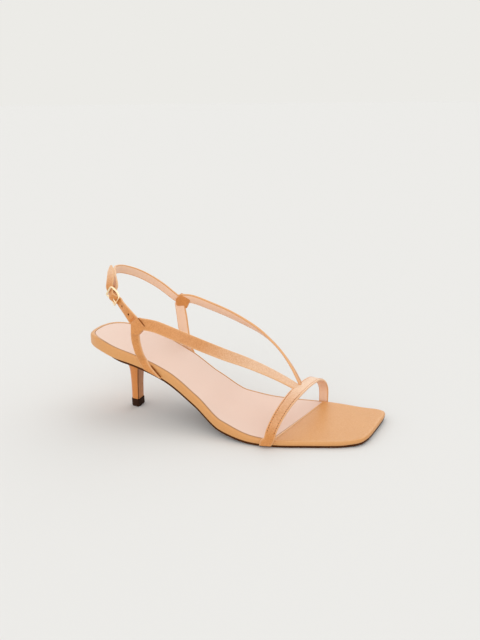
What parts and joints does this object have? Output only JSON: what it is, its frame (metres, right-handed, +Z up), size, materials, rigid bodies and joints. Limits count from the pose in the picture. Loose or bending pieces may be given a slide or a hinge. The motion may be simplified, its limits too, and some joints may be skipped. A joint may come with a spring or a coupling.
{
  "type": "slingback sandal",
  "caption": "Low-heeled slingback sandal for the right foot with a square open toe, slim crossing straps, a buckled back strap and a padded insole.",
  "frame": {"origin": "middle of the overall box, at floor level", "axes": "+X from the heel to the toe, +Y towards the inner side of the foot, +Z up"},
  "size_m": [0.2378, 0.0902, 0.121],
  "materials": {
    "outsole": "smooth dark brown sole sheet, satin",
    "footbed_cover": "tan leather, fine grain, soft sheen",
    "sock_lining": "blush-pink lining leather, matte",
    "heel_cover": "tan leather stretched over the heel, soft sheen",
    "heel_tip": "dark brown top piece, satin",
    "strap_leather": "tan leather outside, blush-pink lining inside",
    "gold_metal": "polished pale gold plating"
  },
  "bodies": {
    "root": {"outsole": "outsole", "footbed": "footbed_cover", "sock_lining": "sock_lining", "heel": "heel_cover", "heel_tip": "heel_tip", "upper": "strap_leather", "back_strap": "strap_leather", "buckle_frame": "gold_metal", "buckle_prong": "gold_metal"}
  },
  "joints": []
}
